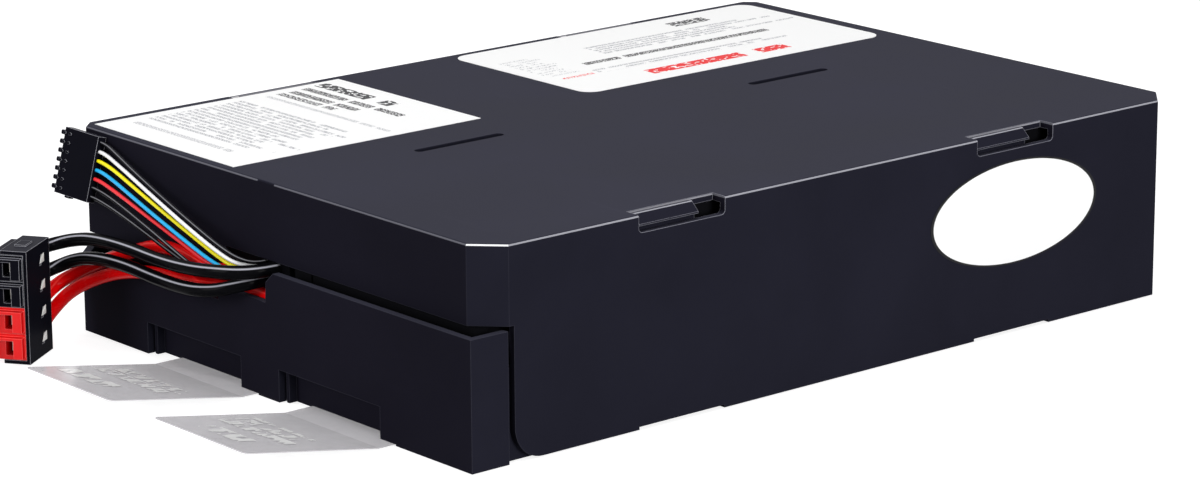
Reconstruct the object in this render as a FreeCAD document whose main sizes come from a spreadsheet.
import FreeCAD, Part

import math
import os
import re

import Sketcher
from FreeCAD import Placement, Rotation, Vector

# A sealed battery cartridge: four lead-acid blocks in a moulded tray, under a clip-down cover,
# with a power lead set, a sense lead and two film pull tabs at its front.
# X runs across the cartridge, Y from its front to its back, Z up. The origin is under its middle.

doc = FreeCAD.newDocument("battery_cartridge")

# ---------------------------------------------------------------- driving sizes, in millimetres
SIZES = {
    # case
    "Length": 308, "Width": 219, "Height": 70, "Wall": 2.4, "Clearance": 0.3,
    "RightChamfer": 9.2, "LeftChamfer": 4, "TopRound": 0.8,
    # cover
    "SkirtGap": 0.2, "SkirtReach": 11.1, "SkirtRound": 11, "FrontEdge": 44,
    "ApronEdge": 33, "ApronRoom": 17.9, "BackEdge": 44,
    "WindowLength": 36, "WindowPitch": 149, "WindowRoom": 0.9, "WindowDrop": 5.8, "WindowRound": 1.5,
    "NotchRise": 1.2, "SlotLength": 37, "SlotWidth": 3.6, "SlotPlace": -2.4,
    # tray
    "Proud": 6, "TrayTop": 42.6, "TrayCorner": 8.3,
    "LowTop": 27.6, "StepTop": 32.2, "StepSide": 22, "NotchSide": 4, "NotchRun": 4.5,
    "SideWallTop": 30, "SideRibFirst": 8, "SideRibSpan": 262, "RibRise": 8, "RibWidth": 1.8,
    "ArmFront": 1.1, "ArmRear": 10.3, "ArmThick": 2, "HookReach": 2, "HookDrop": 4, "HookShort": 0.4,
    "HookLip": 0.6,
    "RecessPlace": 37, "RecessWidth": 53.2, "RecessTop": 11, "RecessDepth": 5,
    "RecessRibPlace": 1.4, "RecessRibWide": 1.4, "RecessRibSet": 2,
    # lead guide behind the front opening
    "GuideLeft": 25, "GuideRight": 7.6, "GuideLow": 34.4, "GuideTop": 43.8, "GuideThick": 1.5,
    "GuideLobe": 6, "LoomRise": 2.4, "PostWidth": 3, "PostGap": 0.4,
    # blocks and their terminals
    "BlockLength": 151, "BlockTall": 94, "BlockGap": 0.1, "BlockRound": 4, "SideGap": 2,
    "LidTall": 9, "LidGroove": 0.5, "VentLength": 118, "VentWide": 22, "VentUp": 10, "VentRise": 0.8,
    "TerminalPlace": 61.5, "TerminalRise": 37.5, "BladeWide": 6.35, "BladeThick": 0.8, "BladeLong": 6.2,
    "BladeHole": 2,
    "BootLong": 6.4, "BootWide": 7.8, "BootThick": 3.4,
    # leads
    "PowerCable": 4.6, "SenseWire": 1.3, "InnerLead": 3.4, "SenseLoom": 3,
    "SleeveLong": 16, "SleeveRadius": 2.6,
    # power connector
    "RetainerDeep": 20, "RetainerRoom": 0.15, "RetainerPlate": 1.3, "RetainerTop": 9.3,
    "PlateSlot": 3.4, "PlateSlotWide": 1.7, "PlateSlotBack": 12.6, "KeySet": 0.15, "PowerYaw": 35,
    "BossWide": 3.9, "BossLong": 6, "BossRise": 0.5, "BossSide": 2.8, "BossBack": 6.4,
    "HousingWide": 12, "HousingTall": 8.9, "HousingPitch": 9, "HousingFirst": 5.9, "HousingFront": 2.4,
    "CableIn": 6.25, "MouthWide": 3.4, "MouthTall": 6, "MouthDeep": 9, "TongueWide": 3.6,
    "ContactThick": 1.6, "ContactTall": 4.4,
    # sense connector
    "SenseLong": 21.8, "SenseTall": 22.6, "SenseThick": 3.2, "SensePitch": 3.1, "SenseFirst": 2,
    "SenseLean": 15, "ToothDeep": 2.2, "ToothTall": 1.5, "ToothRound": 0.6,
    "PinLong": 1.2, "PinWide": 0.8, "LugPlace": 14, "LugLong": 2.4, "LugDrop": 0.8,
    # labels and pull tabs
    "LabelThick": 0.15, "FrontLabelWide": 80.3, "FrontLabelLong": 103.3, "FrontLabelEdge": 4.5,
    "FrontLabelFront": 3.3, "RearLabelWide": 76.5, "RearLabelLong": 143, "RearLabelEdge": 4,
    "RearLabelBack": 7, "RearLabelRound": 6,
    "OvalLong": 79.4, "OvalTall": 36, "OvalPlace": 74.8, "OvalRise": 42.3,
    "TabThick": 0.3, "TabPocket": 0.5, "TabUnder": 50, "TabCrease": 6, "TabReach": 56.6, "TabRise": 9,
    "TabRound": 2,
    "TabLeftPlace": -26.5, "TabLeftWide": 49, "TabRightPlace": 46, "TabRightWide": 49,
}

sheet = doc.addObject("Spreadsheet::Sheet", "sizes")
for row, (alias, amount) in enumerate(SIZES.items(), start=1):
    sheet.set(f"A{row}", alias)
    sheet.set(f"B{row}", str(amount))
    sheet.setAlias(f"B{row}", alias)
doc.recompute()

ALIAS = re.compile(r"\b(" + "|".join(sorted(SIZES, key=len, reverse=True)) + r")\b")
parts = []


def bound(text):
    """An expression on the sheet's aliases, as FreeCAD wants it."""
    return ALIAS.sub(r"sizes.\1", str(text))


def val(text):
    """The number that an expression gives now."""
    return float(sheet.evalExpression(bound(text)))


def keep(item, label):
    """Mark an object as a finished sub-part; its label names its file."""
    item.Label = label
    parts.append(item)
    return item


# ---------------------------------------------------------------- sketch and feature helpers
PLANES = {"X": "YZ_Plane", "Y": "XZ_Plane", "Z": "XY_Plane"}


def new_body(name):
    return doc.addObject("PartDesign::Body", name)


def new_sketch(body, name, along, low, high):
    """A sketch square to one axis, at the end of low..high from which its feature grows."""
    drawing = body.newObject("Sketcher::SketchObject", name)
    plane = [item for item in body.Origin.OriginFeatures if item.Role == PLANES[along]][0]
    drawing.AttachmentSupport = [(plane, "")]
    drawing.MapMode = "FlatFace"
    lift = f"-({high})" if along == "Y" else low
    drawing.setExpression("AttachmentOffset.Base.z", bound(lift))
    return drawing


def fix_point(drawing, curve, end, across, up):
    """Dimension one point of a sketch from the sketch's origin, both ways."""
    for kind, text in (("DistanceX", across), ("DistanceY", up)):
        number = drawing.addConstraint(Sketcher.Constraint(kind, -1, 1, curve, end, val(text)))
        drawing.setExpression(f"Constraints[{number}]", bound(text))


def polygon(drawing, corners):
    """A closed outline of straight lines through corners, each corner dimensioned."""
    points = [Vector(val(across), val(up), 0) for across, up in corners]
    first = drawing.GeometryCount
    count = len(points)
    for index, point in enumerate(points):
        drawing.addGeometry(Part.LineSegment(point, points[(index + 1) % count]), False)
    for index in range(count):
        following = first + (index + 1) % count
        drawing.addConstraint(Sketcher.Constraint("Coincident", first + index, 2, following, 1))
    for index, (across, up) in enumerate(corners):
        fix_point(drawing, first + index, 1, across, up)


def rectangle(left, low, right, high):
    return [(left, low), (right, low), (right, high), (left, high)]


def feature(body, kind, name, along, low, high, outlines):
    """Pad or pocket closed outlines between two planes square to an axis."""
    drawing = new_sketch(body, name + "_sketch", along, low, high)
    for outline in outlines:
        polygon(drawing, outline)
    before = body.Shape.Volume if kind == "Pocket" else 0
    made = body.newObject("PartDesign::" + kind, name)
    made.Profile = drawing
    made.setExpression("Length", bound(f"({high})-({low})"))
    if kind == "Pocket":
        made.Reversed = True
    doc.recompute()
    if kind == "Pocket" and made.Shape.Volume > before - 1e-6:
        raise RuntimeError(name + " cuts nothing")
    return made


def pad(body, name, along, low, high, *outlines):
    return feature(body, "Pad", name, along, low, high, outlines)


def pocket(body, name, along, low, high, *outlines):
    return feature(body, "Pocket", name, along, low, high, outlines)


AXES = {"X": Vector(1, 0, 0), "Y": Vector(0, 1, 0), "Z": Vector(0, 0, 1)}


def edges_where(shape, along, test):
    """Names of the edges whose two ends both pass a test, all of them or those along one axis."""
    names = []
    for index, edge in enumerate(shape.Edges, start=1):
        ends = [vertex.Point for vertex in edge.Vertexes]
        if len(ends) != 2 or not all(test(point) for point in ends):
            continue
        if along and (ends[1] - ends[0]).cross(AXES[along]).Length > 0.001:
            continue
        names.append(f"Edge{index}")
    return names


def fillet(body, name, radius, along, test):
    """Round the edges whose ends pass a test."""
    base = body.Tip
    made = body.newObject("PartDesign::Fillet", name)
    made.Base = (base, edges_where(base.Shape, along, test))
    made.setExpression("Radius", bound(radius))
    doc.recompute()
    return made


def repeat_along(body, made, span, count):
    """Repeat a feature along Y, the last copy a span behind the first."""
    pattern = body.newObject("PartDesign::LinearPattern", made.Name + "_row")
    pattern.Originals = [made]
    axis = [item for item in body.Origin.OriginFeatures if item.Role == "Y_Axis"][0]
    pattern.Direction = (axis, [""])
    pattern.setExpression("Length", bound(span))
    pattern.Occurrences = count
    body.Tip = pattern
    doc.recompute()
    return pattern


def near(value, text):
    return abs(value - val(text)) < 0.01


# ---------------------------------------------------------------- names of shared places
RIGHT = "Width/2"
FRONT = "(-Length/2)"
BACK = "Length/2"
TRAY_FRONT = "(-Length/2-Proud)"
TRAY_SIDE = "(Width/2-Wall-Clearance)"
AISLE = "(Width/2-2*Wall-2*Clearance-SideGap-BlockTall)"
FLOOR = "(Wall+BlockGap)"
BLOCK_WIDE = "(Height-2*Wall-2*BlockGap)"
GUIDE_BACK = "(-BlockLength-0.1)"
GUIDE_FRONT = "(-BlockLength-0.1-GuideThick)"


# ---------------------------------------------------------------- cover
def make_cover():
    """The cover: a shelled lid with keyed corners, skirts, latch windows and top slots."""
    body = new_body("cover_body")

    def octagon(inset):
        side, end = f"({RIGHT}-{inset})", f"({BACK}-{inset})"
        keyed = f"(RightChamfer-0.586*{inset})"
        plain = f"(LeftChamfer-0.586*{inset})"
        return [
            (f"{side}-{keyed}", f"-{end}"), (side, f"-({end}-{keyed})"),
            (side, f"{end}-{keyed}"), (f"{side}-{keyed}", end),
            (f"-({side}-{plain})", end), (f"-{side}", f"{end}-{plain}"),
            (f"-{side}", f"-({end}-{plain})"), (f"-({side}-{plain})", f"-{end}"),
        ]

    pad(body, "cover_block", "Z", "SkirtGap", "Height", octagon("0"))
    fillet(body, "cover_top_round", "TopRound", None, lambda point: near(point.z, "Height"))
    pocket(body, "cover_hollow", "Z", "0", "Height-Wall", octagon("Wall"))

    # The front below the edge is open for the tray; the skirts start behind it, with a round foot.
    pocket(body, "front_opening", "X", f"-{RIGHT}-1", f"{RIGHT}+1",
           rectangle(f"{FRONT}-1", "-1", f"{FRONT}+SkirtReach", "FrontEdge"))
    fillet(body, "skirt_round", "SkirtRound", "X",
           lambda point: near(point.y, f"{FRONT}+SkirtReach") and near(point.z, "SkirtGap"))
    pad(body, "apron", "Y", FRONT, f"{FRONT}+Wall",
        rectangle(f"-{RIGHT}+LeftChamfer", "ApronEdge", f"-({AISLE}+ApronRoom)", "FrontEdge"))
    pocket(body, "back_opening", "Y", f"{BACK}-Wall", f"{BACK}+1",
           rectangle(f"-{RIGHT}+LeftChamfer+1", "-1", f"{RIGHT}-RightChamfer-1", "BackEdge"))

    # Latch windows bite the top and the side; their lower corners are round.
    windows = []
    for side in ("", "-"):
        for end in ("-", ""):
            middle = f"{end}WindowPitch/2"
            inner, outer = f"{side}({TRAY_SIDE}-Wall-WindowRoom)", f"{side}({RIGHT}+1)"
            windows.append(rectangle(inner, f"{middle}-WindowLength/2", outer, f"{middle}+WindowLength/2"))
    pocket(body, "latch_windows", "Z", "Height-WindowDrop", "Height+1", *windows)
    ends = [f"{sign}WindowPitch/2{edge}WindowLength/2" for sign in ("-", "") for edge in ("-", "+")]
    fillet(body, "window_round", "WindowRound", "X",
           lambda point: near(point.z, "Height-WindowDrop") and any(near(point.y, end) for end in ends))
    notches = [rectangle(f"{end}WindowPitch/2-WindowLength/2", "-1",
                         f"{end}WindowPitch/2+WindowLength/2", "NotchRise") for end in ("-", "")]
    pocket(body, "skirt_notches", "X", f"-{RIGHT}-1", f"{RIGHT}+1", *notches)

    # Two slots along the middle of the top, with round ends.
    slots = [rectangle("SlotPlace-SlotWidth/2", f"{end}WindowPitch/2-SlotLength/2",
                       "SlotPlace+SlotWidth/2", f"{end}WindowPitch/2+SlotLength/2") for end in ("-", "")]
    pocket(body, "top_slots", "Z", "Height-Wall-1", "Height+1", *slots)
    fillet(body, "slot_round", "SlotWidth/2-0.05", "Z",
           lambda point: abs(point.x - val("SlotPlace")) < val("SlotWidth/2") + 0.01
           and abs(abs(point.y) - val("WindowPitch/2")) > val("SlotLength/2") - 0.01
           and abs(abs(point.y) - val("WindowPitch/2")) < val("SlotLength/2") + 0.01)
    return keep(body, "top_cover")


# ---------------------------------------------------------------- tray
def make_tray():
    """The tray: floor, proud front wall with a stepped lead notch, and latch arms."""
    body = new_body("tray_body")
    corner = "TrayCorner"
    slope = "0.586*Wall"
    back_right = f"({RIGHT}-RightChamfer-1-Clearance)"
    back_left = f"(-{RIGHT}+LeftChamfer+1+Clearance)"
    inside = f"{BACK}-Wall-Clearance"
    turn = f"{FRONT}+SkirtReach-2*Clearance-1.8"

    pad(body, "floor", "Z", "0", "Wall", [
        (f"-{RIGHT}+{corner}", TRAY_FRONT), (RIGHT, TRAY_FRONT), (RIGHT, turn), (TRAY_SIDE, turn),
        (TRAY_SIDE, f"{inside}-RightChamfer"), (f"{TRAY_SIDE}-RightChamfer", inside),
        (back_right, inside), (back_right, BACK), (back_left, BACK), (back_left, inside),
        (f"-{TRAY_SIDE}+LeftChamfer", inside), (f"-{TRAY_SIDE}", f"{inside}-LeftChamfer"),
        (f"-{TRAY_SIDE}", turn), (f"-{RIGHT}", turn), (f"-{RIGHT}", f"{TRAY_FRONT}+{corner}"),
    ])
    pad(body, "front_wall", "Z", "0", "TrayTop", [
        (f"-{RIGHT}", turn), (f"-{RIGHT}", f"{TRAY_FRONT}+{corner}"),
        (f"-{RIGHT}+{corner}", TRAY_FRONT), (RIGHT, TRAY_FRONT), (RIGHT, turn),
        (f"{RIGHT}-Wall", turn), (f"{RIGHT}-Wall", f"{TRAY_FRONT}+Wall"),
        (f"-{RIGHT}+{corner}+{slope}", f"{TRAY_FRONT}+Wall"),
        (f"-{RIGHT}+Wall", f"{TRAY_FRONT}+{corner}+{slope}"), (f"-{RIGHT}+Wall", turn),
    ])
    pocket(body, "lead_notch", "Y", f"{TRAY_FRONT}-1", f"{turn}+1", [
        (f"-{RIGHT}-1", "LowTop"), ("-StepSide", "LowTop"), ("-StepSide", "StepTop"),
        ("NotchSide", "StepTop"), ("NotchSide+0.5", "TrayTop-3.6"), ("NotchSide+NotchRun", "TrayTop"),
        ("NotchSide+NotchRun", "TrayTop+1"), (f"-{RIGHT}-1", "TrayTop+1"),
    ])
    pad(body, "back_wall", "Y", f"{BACK}-Wall", BACK,
        rectangle(back_left, "0", back_right, "BackEdge-Clearance"))

    # Low side walls hold the blocks off the skirts; ribs on the floor keep the aisle open.
    sides, ribs = [], []
    for sign in ("", "-"):
        sides.append(rectangle(f"{sign}({TRAY_SIDE}-Wall)", f"{turn}-1",
                               f"{sign}{TRAY_SIDE}", f"{inside}-RightChamfer"))
        ribs.append(rectangle(f"{sign}({AISLE}-Clearance-RibWidth)", f"{GUIDE_BACK}+2",
                              f"{sign}({AISLE}-Clearance)", "BlockLength"))
    pad(body, "side_walls", "Z", "0", "SideWallTop", *sides)
    stops = [rectangle(f"{sign}({TRAY_SIDE}-Wall-SideGap)", f"{turn}+SideRibFirst",
                       f"{sign}({TRAY_SIDE}-Wall+0.5)", f"{turn}+SideRibFirst+RibWidth")
             for sign in ("", "-")]
    repeat_along(body, pad(body, "side_ribs", "Z", "0", "SideWallTop-2", *stops), "SideRibSpan", 8)
    pad(body, "aisle_ribs", "Z", "0", "Wall+RibRise", *ribs)

    # Latch arms: a thin flexing arm with a hook that snaps over the window's lip.
    root = f"({TRAY_SIDE}-Wall)"
    arms = []
    for sign in ("", "-"):
        arms.append([
            (f"{sign}({root})", "Wall"), (f"{sign}({root}+ArmThick)", "Wall"),
            (f"{sign}({root}+ArmThick)", "Height-HookDrop"),
            (f"{sign}({root}+ArmThick+HookReach)", "Height-HookDrop"),
            (f"{sign}({root}+ArmThick+HookReach)", "Height-HookDrop+HookLip"),
            (f"{sign}({root}+0.8)", "Height-HookShort"), (f"{sign}({root})", "Height-HookShort"),
        ])
    first = pad(body, "latch_arms", "Y", "-WindowPitch/2-WindowLength/2+ArmFront",
                "-WindowPitch/2+WindowLength/2-ArmRear", *arms)
    repeat_along(body, first, "WindowPitch", 2)

    # Finger recesses: boxes behind the front wall, open in front and below.
    boxes, hollows, stiffeners = [], [], []
    for sign in ("-", ""):
        left = f"{sign}RecessPlace-RecessWidth/2"
        right = f"{sign}RecessPlace+RecessWidth/2"
        boxes.append(rectangle(f"{left}-Wall", f"{TRAY_FRONT}+1", f"{right}+Wall",
                               f"{TRAY_FRONT}+RecessDepth+Wall"))
        hollows.append(rectangle(left, f"{TRAY_FRONT}-1", right, f"{TRAY_FRONT}+RecessDepth"))
        rib = f"{left}+RecessRibPlace"
        stiffeners.append(rectangle(rib, f"{TRAY_FRONT}+RecessRibSet", f"{rib}+RecessRibWide",
                                    f"{TRAY_FRONT}+RecessDepth+1"))
    pad(body, "recess_boxes", "Z", "0", "RecessTop+Wall", *boxes)
    pocket(body, "finger_recesses", "Z", "-1", "RecessTop", *hollows)
    pad(body, "recess_ribs", "Z", "0", "RecessTop+1", *stiffeners)

    # Shallow beds under the floor, in which the pull tabs are stuck.
    beds = []
    for side in ("Left", "Right"):
        half = f"(Tab{side}Wide/2+1)"
        beds.append(rectangle(f"Tab{side}Place-{half}", f"{TRAY_FRONT}-1",
                              f"Tab{side}Place+{half}", f"{TRAY_FRONT}+TabUnder"))
    pocket(body, "tab_beds", "Z", "-1", "TabPocket", *beds)
    return keep(body, "bottom_tray")


# ---------------------------------------------------------------- lead guide
def make_guide():
    """The plate behind the front opening through which every lead enters, on its own post."""
    body = new_body("guide_body")
    pad(body, "guide_plate", "Y", GUIDE_FRONT, GUIDE_BACK,
        rectangle("-GuideLeft", "GuideLow", "GuideRight", "GuideTop"))
    pad(body, "guide_lobe", "Y", GUIDE_FRONT, f"{GUIDE_BACK}+GuideLobe",
        rectangle(f"-({AISLE}-0.4)", "GuideLow", f"{AISLE}-0.4", "GuideTop"))
    pad(body, "loom_boss", "Y", GUIDE_BACK, f"{GUIDE_BACK}+GuideLobe",
        rectangle("-SenseLoom/2-0.8", "GuideTop-1", "SenseLoom/2+0.8", "GuideTop+LoomRise+0.8"))
    side = "RecessPlace-RecessWidth/2-Wall-PostGap"
    pad(body, "guide_post", "Y", f"{TRAY_FRONT}+Wall+PostGap", GUIDE_BACK,
        rectangle(f"{side}-PostWidth", "Wall", side, "GuideLow+1"))
    return keep(body, "lead_guide")


# ---------------------------------------------------------------- battery blocks
BLOCKS = {
    "front_left": (-1, -1), "front_right": (1, -1), "rear_left": (-1, 1), "rear_right": (1, 1),
}


def block_place(side, end):
    """Where a block's own frame sits: lid on the aisle, one block's length from the next."""
    turn = Rotation(Vector(0, 0, 1), 0 if side > 0 else 180)
    return Placement(Vector(side * val(AISLE), end * val("BlockLength/2"), val(FLOOR)), turn)


def make_block(name, side, end):
    """One sealed block, laid on its side: X from its lid to its base, Y along it."""
    body = new_body("block_" + name)
    half, wide = "BlockLength/2", BLOCK_WIDE
    pad(body, "jar", "Z", "0", wide, rectangle("0", f"-{half}", "BlockTall", half))
    fillet(body, "jar_round", "BlockRound", "Z",
           lambda point: near(abs(point.y), half) and near(point.x, "BlockTall"))
    groove = "LidTall", "LidTall+1"
    pocket(body, "lid_groove_low", "X", *groove, rectangle(f"-{half}-1", "-1", f"{half}+1", "LidGroove"))
    pocket(body, "lid_groove_high", "X", *groove,
           rectangle(f"-{half}-1", f"{wide}-LidGroove", f"{half}+1", f"{wide}+1"))
    pocket(body, "lid_groove_ends", "X", *groove,
           rectangle(f"-{half}-1", "-1", f"-{half}+LidGroove", f"{wide}+1"),
           rectangle(f"{half}-LidGroove", "-1", f"{half}+1", f"{wide}+1"))
    pad(body, "vent_cover", "X", "-VentRise", "1",
        rectangle("-VentLength/2", "VentUp", "VentLength/2", "VentUp+VentWide"))
    body.Placement = block_place(side, end)
    return keep(body, "battery_" + name)


def make_terminals(name, side, end):
    """The two blade terminals of one block, each with its lock hole."""
    blades = []
    for label, along in (("a", "-TerminalPlace"), ("b", "TerminalPlace")):
        blade = doc.addObject("Part::Box", f"blade_{name}_{label}")
        blade.setExpression("Length", bound("BladeLong"))
        blade.setExpression("Width", bound("BladeWide"))
        blade.setExpression("Height", bound("BladeThick"))
        blade.setExpression("Placement.Base.x", bound("-BladeLong"))
        blade.setExpression("Placement.Base.y", bound(f"{along}-BladeWide/2"))
        blade.setExpression("Placement.Base.z", bound("TerminalRise-BladeThick/2"))
        hole = doc.addObject("Part::Cylinder", f"blade_hole_{name}_{label}")
        hole.setExpression("Radius", bound("BladeHole/2"))
        hole.Height = 4
        hole.setExpression("Placement.Base.x", bound("-BladeLong*0.55"))
        hole.setExpression("Placement.Base.y", bound(along))
        hole.setExpression("Placement.Base.z", bound("TerminalRise-2"))
        cut = doc.addObject("Part::Cut", f"blade_cut_{name}_{label}")
        cut.Base = blade
        cut.Tool = hole
        blades.append(cut)
    pair = doc.addObject("Part::Compound", "terminals_" + name)
    pair.Links = blades
    pair.Placement = block_place(side, end)
    return keep(pair, "terminals_" + name)


def make_boots():
    """The push-on receptacles in their boots, one on each blade, turned to leave along the aisle."""
    boots = []
    for name, (side, end) in BLOCKS.items():
        for label, along in (("a", "-TerminalPlace"), ("b", "TerminalPlace")):
            boot = doc.addObject("Part::Box", f"boot_{name}_{label}")
            boot.setExpression("Length", bound("BootLong"))
            boot.setExpression("Width", bound("BootWide"))
            boot.setExpression("Height", bound("BootThick"))
            slot = doc.addObject("Part::Box", f"boot_slot_{name}_{label}")
            slot.setExpression("Length", bound("BladeLong+Clearance+1"))
            slot.setExpression("Width", bound("BladeWide+0.1"))
            slot.setExpression("Height", bound("BladeThick+0.1"))
            cut = doc.addObject("Part::Cut", f"boot_cut_{name}_{label}")
            cut.Base = boot
            cut.Tool = slot
            place = block_place(side, end)
            middle = Vector(0, val(along), val("TerminalRise"))
            corner = Vector(-val("BootLong+Clearance"), -val("BootWide/2"), -val("BootThick/2"))
            boot.Placement = Placement(corner, Rotation())
            slot.Placement = Placement(Vector(-val("BladeLong+Clearance/2"), -val("BladeWide/2+0.05"),
                                              -val("BladeThick/2+0.05")), Rotation())
            cut.Placement = place.multiply(Placement(middle, Rotation()))
            boots.append(cut)
    group = doc.addObject("Part::Compound", "boots")
    group.Links = boots
    return keep(group, "terminal_receptacles")


# ---------------------------------------------------------------- leads
def lead(name, route, diameter):
    """A lead as straight runs joined by the largest tangent arcs that the runs allow."""
    points = [Vector(*point) for point in route]
    edges, radii = [], []
    start = points[0]
    for before, corner, after in zip(points, points[1:], points[2:]):
        incoming = (corner - before).normalize()
        outgoing = (after - corner).normalize()
        trim = 0.45 * min((corner - before).Length, (after - corner).Length)
        turn = incoming.getAngle(outgoing)
        radius = trim / math.tan(turn / 2)
        arc_start = corner - incoming * trim
        arc_end = corner + outgoing * trim
        inward = (outgoing - incoming).normalize()
        bulge = radius / math.cos(turn / 2) - radius
        edges.append(Part.LineSegment(start, arc_start).toShape())
        edges.append(Part.Arc(arc_start, corner + inward * bulge, arc_end).toShape())
        radii.append(radius)
        start = arc_end
    edges.append(Part.LineSegment(start, points[-1]).toShape())
    path = Part.Wire(edges)
    ring = Part.Wire(Part.makeCircle(diameter / 2, points[0], points[1] - points[0]))
    solid = path.makePipeShell([ring], True, True)
    share = solid.Volume / (math.pi * diameter ** 2 / 4 * path.Length)
    least = f"{min(radii):.1f}" if radii else "straight"
    print(f"{name}: {path.Length:.0f} mm, least radius {least}, volume share {share:.4f}")
    if abs(share - 1) > 0.01:
        raise RuntimeError(name + " has a bad tube")
    item = doc.addObject("Part::Feature", name + "_lead")
    item.Shape = solid
    return keep(item, name)


# Routes run from the guide's front face, or the post's side, to the connector.
POWER_ROUTES = {
    "power_cable_black_upper": [
        (0.8, -152.6, 41.6), (0.8, -157.8, 41.6), (-2.8, -163.6, 41.2), (-9.6, -167.4, 40.8),
        (-22, -169.5, 39.5), (-40, -169.2, 38.4), (-62, -168.2, 38.7), (-82, -167.6, 37.4),
        (-93, -168.6, 35.2), (-98.6, -172.4, 33.4), (-98.61, -179.04, 32.9), (-95, -184.2, 32.9)],
    "power_cable_black_lower": [
        (-4, -152.6, 37), (-4, -157.8, 37), (-7.2, -163.4, 35.8), (-13.8, -167.4, 33.6),
        (-25, -169.6, 32.2), (-42, -169.6, 32), (-62, -168.6, 32.6), (-82, -168, 31),
        (-93, -168.8, 28.2), (-98.6, -172.4, 25.2), (-98.61, -179.04, 23.9), (-95, -184.2, 23.9)],
    "power_cable_red_upper": [
        (-22, -152.6, 36.9), (-22, -157, 36.9), (-25.2, -160.1, 37.1), (-33, -159.4, 37.8),
        (-44.5, -158.6, 38.9), (-57, -158.8, 38.8), (-70, -160.6, 34.2), (-84.2, -162.4, 28.6),
        (-95.4, -165, 23), (-101, -170.6, 18.8), (-98.61, -179.04, 14.9), (-95, -184.2, 14.9)],
    "power_cable_red_lower": [
        (4.6, -154.6, 31.9), (-0.4, -154.6, 31.9), (-7.4, -154.3, 31.7), (-16, -154.3, 31.2),
        (-24.5, -155.4, 30.6), (-32.5, -158.6, 30.3), (-41, -162, 30.6), (-55, -163.4, 30.6),
        (-71, -164, 27.8), (-84.4, -166.6, 23), (-94.6, -170.2, 17), (-99.6, -174.4, 9.8),
        (-98.61, -179.04, 5.9), (-95, -184.2, 5.9)],
}
SENSE_ROUTES = {
    "sense_wire_black_first": [
        (-4.6, -152.6, 42.9), (-4.6, -157.2, 42.9), (-7.6, -161.2, 44.2), (-15.4, -162.4, 46.4),
        (-31, -161.6, 50.4), (-54, -159.4, 56), (-71.5, -157.6, 60.6), (-82.5, -156.6, 64),
        (-90, -156.3, 66.6), (-92.9, -156.3, 66.6)],
    "sense_wire_white": [
        (-6.7, -152.6, 41.6), (-6.7, -157.4, 41.6), (-9.8, -162, 42.8), (-18.6, -163, 45.4),
        (-35, -162.3, 49.7), (-56, -160.3, 54.9), (-72.5, -158.4, 59), (-82.8, -157.4, 61.6),
        (-90, -157.1, 63.6), (-92.9, -157.1, 63.6)],
    "sense_wire_yellow": [
        (-8.4, -152.6, 40.2), (-8.4, -157, 40.2), (-11.2, -160.8, 40.8), (-17.6, -161.8, 42.6),
        (-31, -161.6, 46.3), (-53, -160.4, 51.8), (-70.5, -159, 56), (-81.6, -158.1, 58.8),
        (-90, -157.9, 60.6), (-92.9, -157.9, 60.6)],
    "sense_wire_blue": [
        (-10.1, -152.6, 38.8), (-10.1, -157.6, 38.8), (-13.6, -161.9, 39.5), (-21.5, -163, 41.3),
        (-36, -162.6, 45), (-56, -161.4, 49.8), (-72, -159.8, 53.4), (-82, -158.9, 55.8),
        (-90, -158.7, 57.6), (-92.9, -158.7, 57.6)],
    "sense_wire_red": [
        (-12, -152.6, 37.5), (-12, -157.2, 37.5), (-15.2, -160.7, 38.2), (-23.4, -162.6, 39.9),
        (-38, -161.8, 43.2), (-57, -161, 47.5), (-72.5, -160.2, 51), (-82, -159.7, 53),
        (-90, -159.5, 54.6), (-92.9, -159.5, 54.6)],
    "sense_wire_black_second": [
        (-14, -152.6, 36.4), (-14, -157.4, 36.4), (-17.4, -162.2, 36.5), (-24.6, -165.2, 37.6),
        (-35, -165, 40.2), (-51, -163.4, 43.9), (-68, -161.4, 47.2), (-80.4, -160.6, 50),
        (-90, -160.3, 51.6), (-92.9, -160.3, 51.6)],
    "sense_wire_black_third": [
        (-16.2, -152.6, 35.5), (-16.2, -157, 35.5), (-19.4, -161.4, 35.6), (-26.4, -163.7, 36.2),
        (-37.4, -163.4, 38.2), (-52.5, -162.6, 41.4), (-68.5, -161.9, 44.9), (-80.4, -161.3, 47.2),
        (-90, -161.1, 48.6), (-92.9, -161.1, 48.6)],
}


def make_leads():
    for name, route in POWER_ROUTES.items():
        lead(name, route, val("PowerCable"))
    for name, route in SENSE_ROUTES.items():
        lead(name, route, val("SenseWire"))


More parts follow.
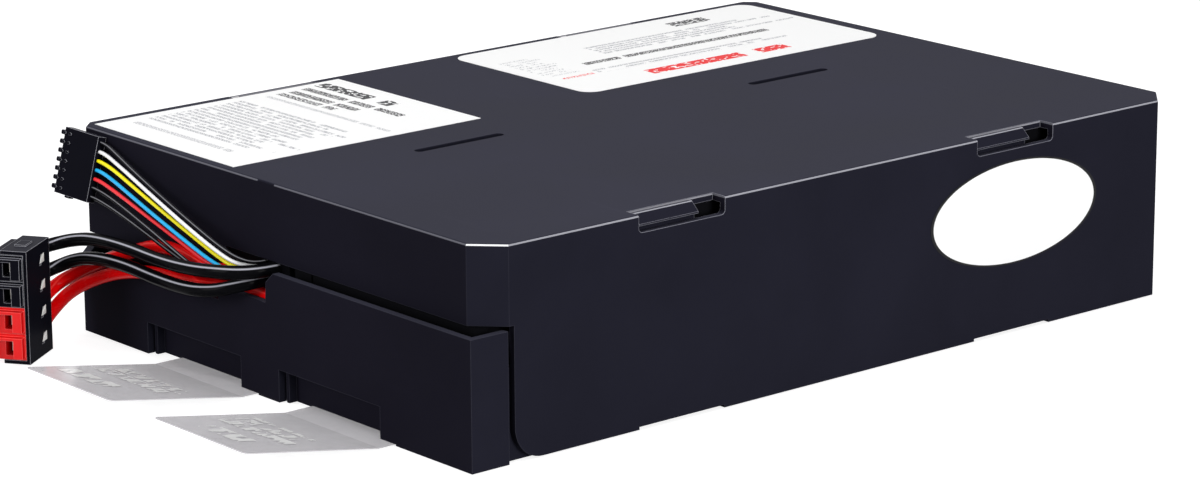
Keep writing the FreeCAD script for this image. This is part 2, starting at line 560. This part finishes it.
def make_inner_leads():
    """Leads inside the case: guide to the near and far blades, and a link across each pair of blocks."""
    half_boot = val("BootWide/2")
    level = val(f"{FLOOR}+TerminalRise")
    column = val(f"{AISLE}-Clearance-BootLong/2")
    guide = val(f"{GUIDE_BACK}+GuideLobe")
    near_blade = val("-BlockLength/2-TerminalPlace")
    mid_blade = val("-BlockLength/2+TerminalPlace")
    far_blade = val("BlockLength/2+TerminalPlace")
    low = level - 16
    for side, name in ((-1, "left"), (1, "right")):
        across = side * column
        inner = side * (val("InnerLead/2") + 0.6)
        lead("inner_lead_near_" + name,
             [(across, guide, level), (across, near_blade - half_boot, level)], val("InnerLead"))
        lead("inner_lead_far_" + name, [
            (inner, guide, level - 3.7), (inner, guide + 5, level - 3.7), (inner, guide + 15, low + 3),
            (inner, guide + 30, low), (inner, guide + 60, low - 0.6), (inner, mid_blade, low),
            (inner, -mid_blade, low + 0.5), (inner, far_blade - 70, low), (inner, far_blade - 35, low + 1),
            (across, far_blade - 18, level - 2), (across, far_blade - 10, level),
            (across, far_blade - half_boot, level)], val("InnerLead"))
        lead("link_lead_" + name,
             [(across, mid_blade + half_boot, level), (across, -mid_blade - half_boot, level)],
             val("InnerLead"))


def make_sense_loom():
    """The inner sense loom, from the guide to a sleeve in the middle of the aisle."""
    guide = val(f"{GUIDE_BACK}+GuideLobe")
    top = val("GuideTop+LoomRise-SenseLoom/2")
    end = -val("SleeveLong")
    lead("inner_sense_loom", [
        (0, guide, top), (0, guide + 12, top), (0, guide + 30, top + 5), (0, guide + 60, top + 7),
        (0, end - 40, top + 6), (0, end - 18, top + 5.4), (0, end, top + 5.4)], val("SenseLoom"))
    sleeve = doc.addObject("Part::Cylinder", "sleeve")
    sleeve.setExpression("Radius", bound("SleeveRadius"))
    sleeve.setExpression("Height", bound("SleeveLong"))
    sleeve.Placement = Placement(Vector(0, end, top + 5.4), Rotation(Vector(1, 0, 0), -90))
    keep(sleeve, "sense_tap_sleeve")


# ---------------------------------------------------------------- power connector
POWER_TURN = Rotation(Vector(0, 0, 1), val("PowerYaw"))


def power_place():
    """The connector's own frame: its cables come out at the end of their routes."""
    end = Vector(*POWER_ROUTES["power_cable_black_upper"][-1])
    end.z = 0
    inside = Vector(-val("CableIn"), val("RetainerDeep"), 0)
    return Placement(end - POWER_TURN.multVec(inside), POWER_TURN)


def key_outline(index):
    """The slanted outline of one lock slot in the retainer's side plate."""
    middle = f"(HousingFirst+{index}*HousingPitch)"
    return [
        ("PlateSlotBack-PlateSlot/2", f"{middle}-PlateSlot/2"),
        ("PlateSlotBack-PlateSlot/2+PlateSlotWide", f"{middle}-PlateSlot/2"),
        ("PlateSlotBack+PlateSlot/2", f"{middle}+PlateSlot/2"),
        ("PlateSlotBack+PlateSlot/2-PlateSlotWide", f"{middle}+PlateSlot/2"),
    ]


def make_retainer():
    """The channel that locks the four housings together, and the keys in its side plate."""
    body = new_body("retainer_body")
    plate = "RetainerPlate"
    tall = "(HousingFirst+3*HousingPitch+HousingTall/2+RetainerRoom+RetainerPlate)"
    pad(body, "channel", "Y", "0", "RetainerDeep", [
        ("0", "0"), ("0", tall), ("-RetainerTop", tall), ("-RetainerTop", f"{tall}-{plate}"),
        (f"-{plate}", f"{tall}-{plate}"), (f"-{plate}", plate), ("-RetainerTop", plate),
        ("-RetainerTop", "0"),
    ])
    pocket(body, "lock_slots", "X", f"-{plate}-0.5", "1", *[key_outline(index) for index in range(4)])
    pad(body, "top_boss", "Z", tall, f"{tall}+BossRise",
        rectangle("-BossSide-BossWide", "BossBack", "-BossSide", "BossBack+BossLong"))
    body.Placement = power_place()
    keep(body, "power_connector_retainer")

    keys = []
    for index in range(4):
        key = new_body(f"key_{index}_body")
        pad(key, f"key_{index}", "X", f"-{plate}", "-KeySet", key_outline(index))
        keys.append(key)
    group = doc.addObject("Part::Compound", "keys")
    group.Links = keys
    group.Placement = power_place()
    keep(group, "retainer_keys")


def make_housing(name, index):
    """One housing: a square shell with a contact mouth in front and a mating tongue beside it."""
    body = new_body("body_" + name)
    low = f"(HousingFirst+{index}*HousingPitch-HousingTall/2)"
    high = f"({low}+HousingTall)"
    right, left = "-RetainerPlate-0.05", "-RetainerPlate-0.05-HousingWide"
    middle = f"(HousingFirst+{index}*HousingPitch)"
    mouth = "(-CableIn-0.6)"
    pad(body, "shell", "Y", "0", "RetainerDeep", rectangle(left, low, right, high))
    pad(body, "tongue", "Y", "-HousingFront", "1",
        rectangle(f"{right}-TongueWide", f"{low}+0.9", f"{right}-0.4", f"{high}-0.9"),
        rectangle(left, f"{low}+0.9", f"{left}+1.6", f"{high}-0.9"))
    pad(body, "tongue_bar", "Y", "-HousingFront", "1",
        rectangle(f"{left}+1.6", f"{high}-1.9", f"{right}-TongueWide", f"{high}-0.9"))
    pocket(body, "mouth", "Y", "-1", "MouthDeep",
           rectangle(f"{mouth}-MouthWide/2", f"{middle}-MouthTall/2", f"{mouth}+MouthWide/2",
                     f"{middle}+MouthTall/2-0.6"))
    body.Placement = power_place()
    return keep(body, "power_housing_" + name)


def make_contact(name, index):
    """The spring contact inside one housing, with its rolled lip."""
    body = new_body("contact_" + name)
    middle = f"(HousingFirst+{index}*HousingPitch)"
    mouth = "(-CableIn-0.6)"
    pad(body, "blade", "Y", "2.6", "MouthDeep",
        rectangle(f"{mouth}-ContactThick/2", f"{middle}-ContactTall/2", f"{mouth}+ContactThick/2",
                  f"{middle}+ContactTall/2"))
    fillet(body, "lip", "0.5", "Z", lambda point: near(point.y, "2.6"))
    body.Placement = power_place()
    return keep(body, "power_contact_" + name)


# ---------------------------------------------------------------- sense connector
def sense_place():
    """The connector's own frame: its top right corner, leaning out at the bottom."""
    first = Vector(*SENSE_ROUTES["sense_wire_black_first"][-1])
    turn = Rotation(Vector(1, 0, 0), -val("SenseLean"))
    inside = Vector(0, val("SenseThick/2"), -val("SenseFirst"))
    return Placement(first - turn.multVec(inside), turn)


def make_sense_connector():
    """A flat seven-way housing with a toothed mating edge, and the pins in its end."""
    body = new_body("sense_body")
    pad(body, "sense_shell", "Y", "0", "SenseThick",
        rectangle("-SenseLong", "-SenseTall", "0", "0"))
    gaps, pins = [], []
    for index in range(8):
        middle = f"(-SenseFirst+SensePitch/2-{index}*SensePitch)"
        gaps.append(rectangle("-SenseLong-1", f"{middle}-ToothTall/2", "-SenseLong+ToothDeep",
                              f"{middle}+ToothTall/2"))
    pocket(body, "tooth_gaps", "Y", "-1", "SenseThick+1", *gaps)
    fillet(body, "tooth_round", "ToothRound", "Y", lambda point: near(point.x, "-SenseLong"))
    pad(body, "foot_lug", "Y", "0.6", "SenseThick-0.6",
        rectangle("-LugPlace", "-SenseTall-LugDrop", "-LugPlace+LugLong", "-SenseTall+1"))
    body.Placement = sense_place()
    keep(body, "sense_housing")
    for index in range(7):
        pin = doc.addObject("Part::Box", f"pin_{index}")
        pin.setExpression("Length", bound("PinLong"))
        pin.setExpression("Width", bound("PinWide"))
        pin.setExpression("Height", bound("PinWide"))
        pin.setExpression("Placement.Base.x", bound("-SenseLong-PinLong"))
        pin.setExpression("Placement.Base.y", bound("SenseThick/2-PinWide/2"))
        pin.setExpression("Placement.Base.z", bound(f"-SenseFirst-{index}*SensePitch-PinWide/2"))
        pins.append(pin)
    group = doc.addObject("Part::Compound", "pins")
    group.Links = pins
    group.Placement = sense_place()
    keep(group, "sense_contacts")


# ---------------------------------------------------------------- labels and pull tabs
def make_labels():
    """Two paper labels on top and an oval one on the right side."""
    front = new_body("front_label_body")
    left = f"-{RIGHT}+FrontLabelEdge"
    near_edge = f"{FRONT}+FrontLabelFront"
    pad(front, "front_sheet", "Z", "Height", "Height+LabelThick",
        rectangle(left, near_edge, f"{left}+FrontLabelWide", f"{near_edge}+FrontLabelLong"))
    keep(front, "front_label")

    rear = new_body("rear_label_body")
    left = f"-{RIGHT}+RearLabelEdge"
    far_edge = f"{BACK}-RearLabelBack"
    pad(rear, "rear_sheet", "Z", "Height", "Height+LabelThick",
        rectangle(left, f"{far_edge}-RearLabelLong", f"{left}+RearLabelWide", far_edge))
    fillet(rear, "rear_sheet_round", "RearLabelRound", "Z", lambda point: True)
    keep(rear, "rear_label")

    outline = doc.addObject("Part::Ellipse", "oval_outline")
    outline.setExpression("MajorRadius", bound("OvalLong/2"))
    outline.setExpression("MinorRadius", bound("OvalTall/2"))
    outline.setExpression("Placement.Base.x", bound(RIGHT))
    outline.setExpression("Placement.Base.y", bound("OvalPlace"))
    outline.setExpression("Placement.Base.z", bound("OvalRise"))
    outline.Placement.Rotation = Rotation(AXES["Y"], AXES["Z"], AXES["X"], "XYZ")
    oval = doc.addObject("Part::Extrusion", "oval_sheet")
    oval.Base = outline
    oval.DirMode = "Normal"
    oval.Solid = True
    oval.setExpression("LengthFwd", bound("LabelThick"))
    keep(oval, "oval_sticker")


def make_tab(side):
    """A film pull tab: stuck flat under the floor, creased in front of it, then springing up."""
    thick, lift = val("TabThick"), val("TabPocket-TabThick-0.05")
    root = Vector(0, val(f"{TRAY_FRONT}+TabUnder-2"), lift)
    crease = Vector(0, val(f"{TRAY_FRONT}-TabCrease"), lift)
    tip = Vector(0, val(f"{TRAY_FRONT}-TabReach"), lift + val("TabRise"))
    slope = math.atan2(tip.z - crease.z, crease.y - tip.y)
    above_root = root + Vector(0, 0, thick)
    above_crease = crease + Vector(0, thick * math.tan(slope / 2), thick)
    above_tip = tip + Vector(0, thick * math.sin(slope), thick * math.cos(slope))
    profile = Part.makePolygon([root, crease, tip, above_tip, above_crease, above_root, root])
    place, wide = val(f"Tab{side}Place"), val(f"Tab{side}Wide")
    film = Part.Face(profile).extrude(Vector(wide, 0, 0))
    corners = [edge for edge in film.Edges
               if edge.Length < thick * 1.01 and edge.CenterOfMass.y < above_tip.y]
    film = film.makeFillet(val("TabRound"), corners)
    item = doc.addObject("Part::Feature", f"tab_{side}")
    item.Shape = film
    item.Placement = Placement(Vector(place - wide / 2, 0, 0), Rotation())
    return keep(item, "pull_tab_" + side.lower())


# ---------------------------------------------------------------- build everything
make_cover()
make_tray()
make_guide()
for name, (side, end) in BLOCKS.items():
    make_block(name, side, end)
    make_terminals(name, side, end)
make_boots()
make_leads()
make_inner_leads()
make_sense_loom()
make_retainer()
for index, name in enumerate(("red_lower", "red_upper", "black_lower", "black_upper")):
    make_housing(name, index)
    make_contact(name, index)
make_sense_connector()
make_labels()
make_tab("Left")
make_tab("Right")
doc.recompute()

# ---------------------------------------------------------------- check, then write
for item in doc.Objects:
    if {"Invalid", "Error"} & set(item.State):
        raise RuntimeError(f"{item.Name} failed: {item.State}")
for item in parts:
    if item.Shape.isNull() or not item.Shape.isValid() or item.Shape.Volume <= 0:
        raise RuntimeError(f"{item.Label} has a bad shape")
os.makedirs("parts", exist_ok=True)
for item in parts:
    item.Shape.exportStep(f"parts/{item.Label}.step")
print(len(parts), "sub-parts written")
